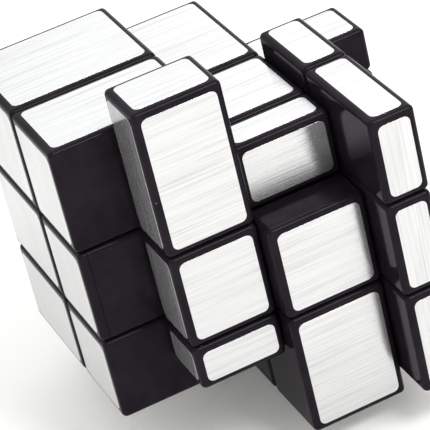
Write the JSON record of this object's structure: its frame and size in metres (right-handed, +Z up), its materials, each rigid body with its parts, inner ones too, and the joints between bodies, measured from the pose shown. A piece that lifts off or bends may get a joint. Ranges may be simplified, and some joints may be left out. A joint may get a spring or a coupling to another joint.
{
  "type": "twisty puzzle cube",
  "caption": "Twisty puzzle cube with layers of unequal thickness, black blocks faced with brushed silver foil, shown part way through a scramble.",
  "frame": {"origin": "middle of the footprint on the surface that the lowest block reaches; the core's centre, where every face axis crosses, is at 4, -2, 38.5 mm", "axes": "+Z up through the thin top layer, +X to the puzzle's right, +Y away from the viewer"},
  "size_m": [0.069, 0.073, 0.077],
  "materials": {
    "black_plastic": "glossy",
    "silver_foil": "brushed",
    "core_plastic": "satin",
    "steel": "satin"
  },
  "bodies": {
    "core": {"core": "core_plastic", "screw_left": "steel", "spring_left": "steel", "washer_left": "steel", "screw_right": "steel", "spring_right": "steel", "washer_right": "steel", "screw_front": "steel", "spring_front": "steel", "washer_front": "steel", "screw_back": "steel", "spring_back": "steel", "washer_back": "steel", "screw_top": "steel", "spring_top": "steel", "washer_top": "steel", "screw_bottom": "steel", "spring_bottom": "steel", "washer_bottom": "steel"},
    "centre_left": {"centre_base_left": "black_plastic", "centre_cap_left": "black_plastic"},
    "centre_right": {"centre_base_right": "black_plastic", "centre_cap_right": "black_plastic"},
    "centre_front": {"centre_base_front": "black_plastic", "centre_cap_front": "black_plastic"},
    "centre_back": {"centre_base_back": "black_plastic", "centre_cap_back": "black_plastic"},
    "centre_top": {"centre_base_top": "black_plastic", "centre_cap_top": "black_plastic"},
    "centre_bottom": {"centre_base_bottom": "black_plastic", "centre_cap_bottom": "black_plastic"},
    "edge_front_left": {"edge_front_left": "black_plastic"},
    "edge_front_right": {"edge_front_right": "black_plastic"},
    "edge_front_top": {"edge_front_top": "black_plastic"},
    "edge_front_bottom": {"edge_front_bottom": "black_plastic"},
    "edge_back_left": {"edge_back_left": "black_plastic"},
    "edge_back_right": {"edge_back_right": "black_plastic"},
    "edge_back_top": {"edge_back_top": "black_plastic"},
    "edge_back_bottom": {"edge_back_bottom": "black_plastic"},
    "edge_left_top": {"edge_left_top": "black_plastic"},
    "edge_left_bottom": {"edge_left_bottom": "black_plastic"},
    "edge_right_top": {"edge_right_top": "black_plastic"},
    "edge_right_bottom": {"edge_right_bottom": "black_plastic"},
    "corner_front_left_top": {"corner_front_left_top": "black_plastic"},
    "corner_front_left_bottom": {"corner_front_left_bottom": "black_plastic"},
    "corner_front_right_top": {"corner_front_right_top": "black_plastic"},
    "corner_front_right_bottom": {"corner_front_right_bottom": "black_plastic"},
    "corner_back_left_top": {"corner_back_left_top": "black_plastic"},
    "corner_back_left_bottom": {"corner_back_left_bottom": "black_plastic"},
    "corner_back_right_top": {"corner_back_right_top": "black_plastic"},
    "corner_back_right_bottom": {"corner_back_right_bottom": "black_plastic"}
  },
  "joints": [
    {"name": "turn_left", "type": "hinge", "parent": "core", "child": "centre_left", "pos_m": [0.004, -0.002, 0.0385], "axis": [1, 0, 0], "continuous": true},
    {"name": "turn_right", "type": "hinge", "parent": "core", "child": "centre_right", "pos_m": [0.004, -0.002, 0.0385], "axis": [1, 0, 0], "continuous": true},
    {"name": "turn_front", "type": "hinge", "parent": "core", "child": "centre_front", "pos_m": [0.004, -0.002, 0.0385], "axis": [0, 1, 0], "range_deg": [-180, 180]},
    {"name": "turn_back", "type": "hinge", "parent": "core", "child": "centre_back", "pos_m": [0.004, -0.002, 0.0385], "axis": [0, 1, 0], "range_deg": [-180, 180]},
    {"name": "turn_top", "type": "hinge", "parent": "core", "child": "centre_top", "pos_m": [0.004, -0.002, 0.0385], "axis": [0, 0, 1], "range_deg": [-180, 180]},
    {"name": "turn_bottom", "type": "hinge", "parent": "core", "child": "centre_bottom", "pos_m": [0.004, -0.002, 0.0385], "axis": [0, 0, 1], "range_deg": [-180, 180]},
    {"name": "edge_front_left_with_front", "type": "hinge", "parent": "centre_left", "child": "edge_front_left", "pos_m": [0.004, -0.002, 0.0385], "axis": [0, 1, 0], "range_deg": [-180, 180]},
    {"name": "edge_front_right_with_front", "type": "hinge", "parent": "centre_right", "child": "edge_front_right", "pos_m": [0.004, -0.002, 0.0385], "axis": [0, 1, 0], "range_deg": [-180, 180]},
    {"name": "edge_front_top_with_front", "type": "hinge", "parent": "centre_top", "child": "edge_front_top", "pos_m": [0.004, -0.002, 0.0385], "axis": [0, 1, 0], "range_deg": [-180, 180]},
    {"name": "edge_front_bottom_with_front", "type": "hinge", "parent": "centre_bottom", "child": "edge_front_bottom", "pos_m": [0.004, -0.002, 0.0385], "axis": [0, 1, 0], "range_deg": [-180, 180]},
    {"name": "edge_back_left_with_back", "type": "hinge", "parent": "centre_left", "child": "edge_back_left", "pos_m": [0.004, -0.002, 0.0385], "axis": [0, 1, 0], "range_deg": [-180, 180]},
    {"name": "edge_back_right_with_back", "type": "hinge", "parent": "centre_right", "child": "edge_back_right", "pos_m": [0.004, -0.002, 0.0385], "axis": [0, 1, 0], "range_deg": [-180, 180]},
    {"name": "edge_back_top_with_back", "type": "hinge", "parent": "centre_top", "child": "edge_back_top", "pos_m": [0.004, -0.002, 0.0385], "axis": [0, 1, 0], "range_deg": [-180, 180]},
    {"name": "edge_back_bottom_with_back", "type": "hinge", "parent": "centre_bottom", "child": "edge_back_bottom", "pos_m": [0.004, -0.002, 0.0385], "axis": [0, 1, 0], "range_deg": [-180, 180]},
    {"name": "edge_left_top_with_top", "type": "hinge", "parent": "centre_left", "child": "edge_left_top", "pos_m": [0.004, -0.002, 0.0385], "axis": [0, 0, 1], "range_deg": [-180, 180]},
    {"name": "edge_left_bottom_with_bottom", "type": "hinge", "parent": "centre_left", "child": "edge_left_bottom", "pos_m": [0.004, -0.002, 0.0385], "axis": [0, 0, 1], "range_deg": [-180, 180]},
    {"name": "edge_right_top_with_top", "type": "hinge", "parent": "centre_right", "child": "edge_right_top", "pos_m": [0.004, -0.002, 0.0385], "axis": [0, 0, 1], "range_deg": [-180, 180]},
    {"name": "edge_right_bottom_with_bottom", "type": "hinge", "parent": "centre_right", "child": "edge_right_bottom", "pos_m": [0.004, -0.002, 0.0385], "axis": [0, 0, 1], "range_deg": [-180, 180]},
    {"name": "corner_front_left_top_with_front", "type": "hinge", "parent": "edge_left_top", "child": "corner_front_left_top", "pos_m": [0.004, -0.002, 0.0385], "axis": [0, 1, 0], "range_deg": [-180, 180]},
    {"name": "corner_front_left_bottom_with_front", "type": "hinge", "parent": "edge_left_bottom", "child": "corner_front_left_bottom", "pos_m": [0.004, -0.002, 0.0385], "axis": [0, 1, 0], "range_deg": [-180, 180]},
    {"name": "corner_front_right_top_with_front", "type": "hinge", "parent": "edge_right_top", "child": "corner_front_right_top", "pos_m": [0.004, -0.002, 0.0385], "axis": [0, 1, 0], "range_deg": [-180, 180]},
    {"name": "corner_front_right_bottom_with_front", "type": "hinge", "parent": "edge_right_bottom", "child": "corner_front_right_bottom", "pos_m": [0.004, -0.002, 0.0385], "axis": [0, 1, 0], "range_deg": [-180, 180]},
    {"name": "corner_back_left_top_with_back", "type": "hinge", "parent": "edge_left_top", "child": "corner_back_left_top", "pos_m": [0.004, -0.002, 0.0385], "axis": [0, 1, 0], "range_deg": [-180, 180]},
    {"name": "corner_back_left_bottom_with_back", "type": "hinge", "parent": "edge_left_bottom", "child": "corner_back_left_bottom", "pos_m": [0.004, -0.002, 0.0385], "axis": [0, 1, 0], "range_deg": [-180, 180]},
    {"name": "corner_back_right_top_with_back", "type": "hinge", "parent": "edge_right_top", "child": "corner_back_right_top", "pos_m": [0.004, -0.002, 0.0385], "axis": [0, 1, 0], "range_deg": [-180, 180]},
    {"name": "corner_back_right_bottom_with_back", "type": "hinge", "parent": "edge_right_bottom", "child": "corner_back_right_bottom", "pos_m": [0.004, -0.002, 0.0385], "axis": [0, 1, 0], "range_deg": [-180, 180]}
  ],
  "couplings": [
    {"joint": "edge_front_left_with_front", "follows": "turn_front", "ratio": 1},
    {"joint": "edge_front_right_with_front", "follows": "turn_front", "ratio": 1},
    {"joint": "edge_front_top_with_front", "follows": "turn_front", "ratio": 1},
    {"joint": "edge_front_bottom_with_front", "follows": "turn_front", "ratio": 1},
    {"joint": "edge_back_left_with_back", "follows": "turn_back", "ratio": 1},
    {"joint": "edge_back_right_with_back", "follows": "turn_back", "ratio": 1},
    {"joint": "edge_back_top_with_back", "follows": "turn_back", "ratio": 1},
    {"joint": "edge_back_bottom_with_back", "follows": "turn_back", "ratio": 1},
    {"joint": "edge_left_top_with_top", "follows": "turn_top", "ratio": 1},
    {"joint": "edge_left_bottom_with_bottom", "follows": "turn_bottom", "ratio": 1},
    {"joint": "edge_right_top_with_top", "follows": "turn_top", "ratio": 1},
    {"joint": "edge_right_bottom_with_bottom", "follows": "turn_bottom", "ratio": 1},
    {"joint": "corner_front_left_top_with_front", "follows": "turn_front", "ratio": 1},
    {"joint": "corner_front_left_bottom_with_front", "follows": "turn_front", "ratio": 1},
    {"joint": "corner_front_right_top_with_front", "follows": "turn_front", "ratio": 1},
    {"joint": "corner_front_right_bottom_with_front", "follows": "turn_front", "ratio": 1},
    {"joint": "corner_back_left_top_with_back", "follows": "turn_back", "ratio": 1},
    {"joint": "corner_back_left_bottom_with_back", "follows": "turn_back", "ratio": 1},
    {"joint": "corner_back_right_top_with_back", "follows": "turn_back", "ratio": 1},
    {"joint": "corner_back_right_bottom_with_back", "follows": "turn_back", "ratio": 1}
  ]
}
